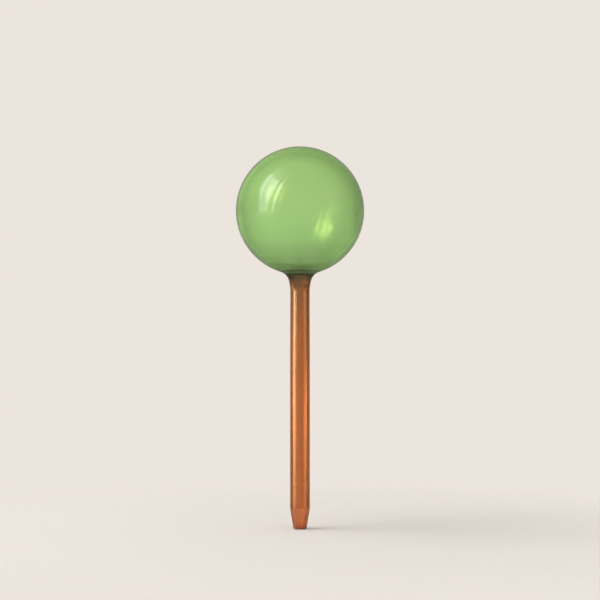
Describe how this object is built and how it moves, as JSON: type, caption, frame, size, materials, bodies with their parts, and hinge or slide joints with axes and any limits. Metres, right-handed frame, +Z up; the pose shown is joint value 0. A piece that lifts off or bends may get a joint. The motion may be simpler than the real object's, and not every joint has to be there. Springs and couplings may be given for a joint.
{
  "type": "watering globe",
  "caption": "Hollow glass watering globe: a round bulb fused by a flared neck to a long tubular stem with a tapered open tip, pushed upside down into potting soil.",
  "frame": {"origin": "centre of the stem's open mouth, at the lowest point of the tip", "axes": "+Z up the common axis of the stem and the globe, with the globe at the top; the object is round about +Z"},
  "size_m": [0.0828, 0.0828, 0.2464],
  "materials": {
    "globe_glass": "clear blown glass with a translucent leaf green colour that darkens into the neck",
    "stem_glass": "clear drawn glass with a translucent copper amber colour that darkens into the neck"
  },
  "bodies": {
    "root": {"globe": "globe_glass", "stem": "stem_glass"}
  },
  "joints": []
}
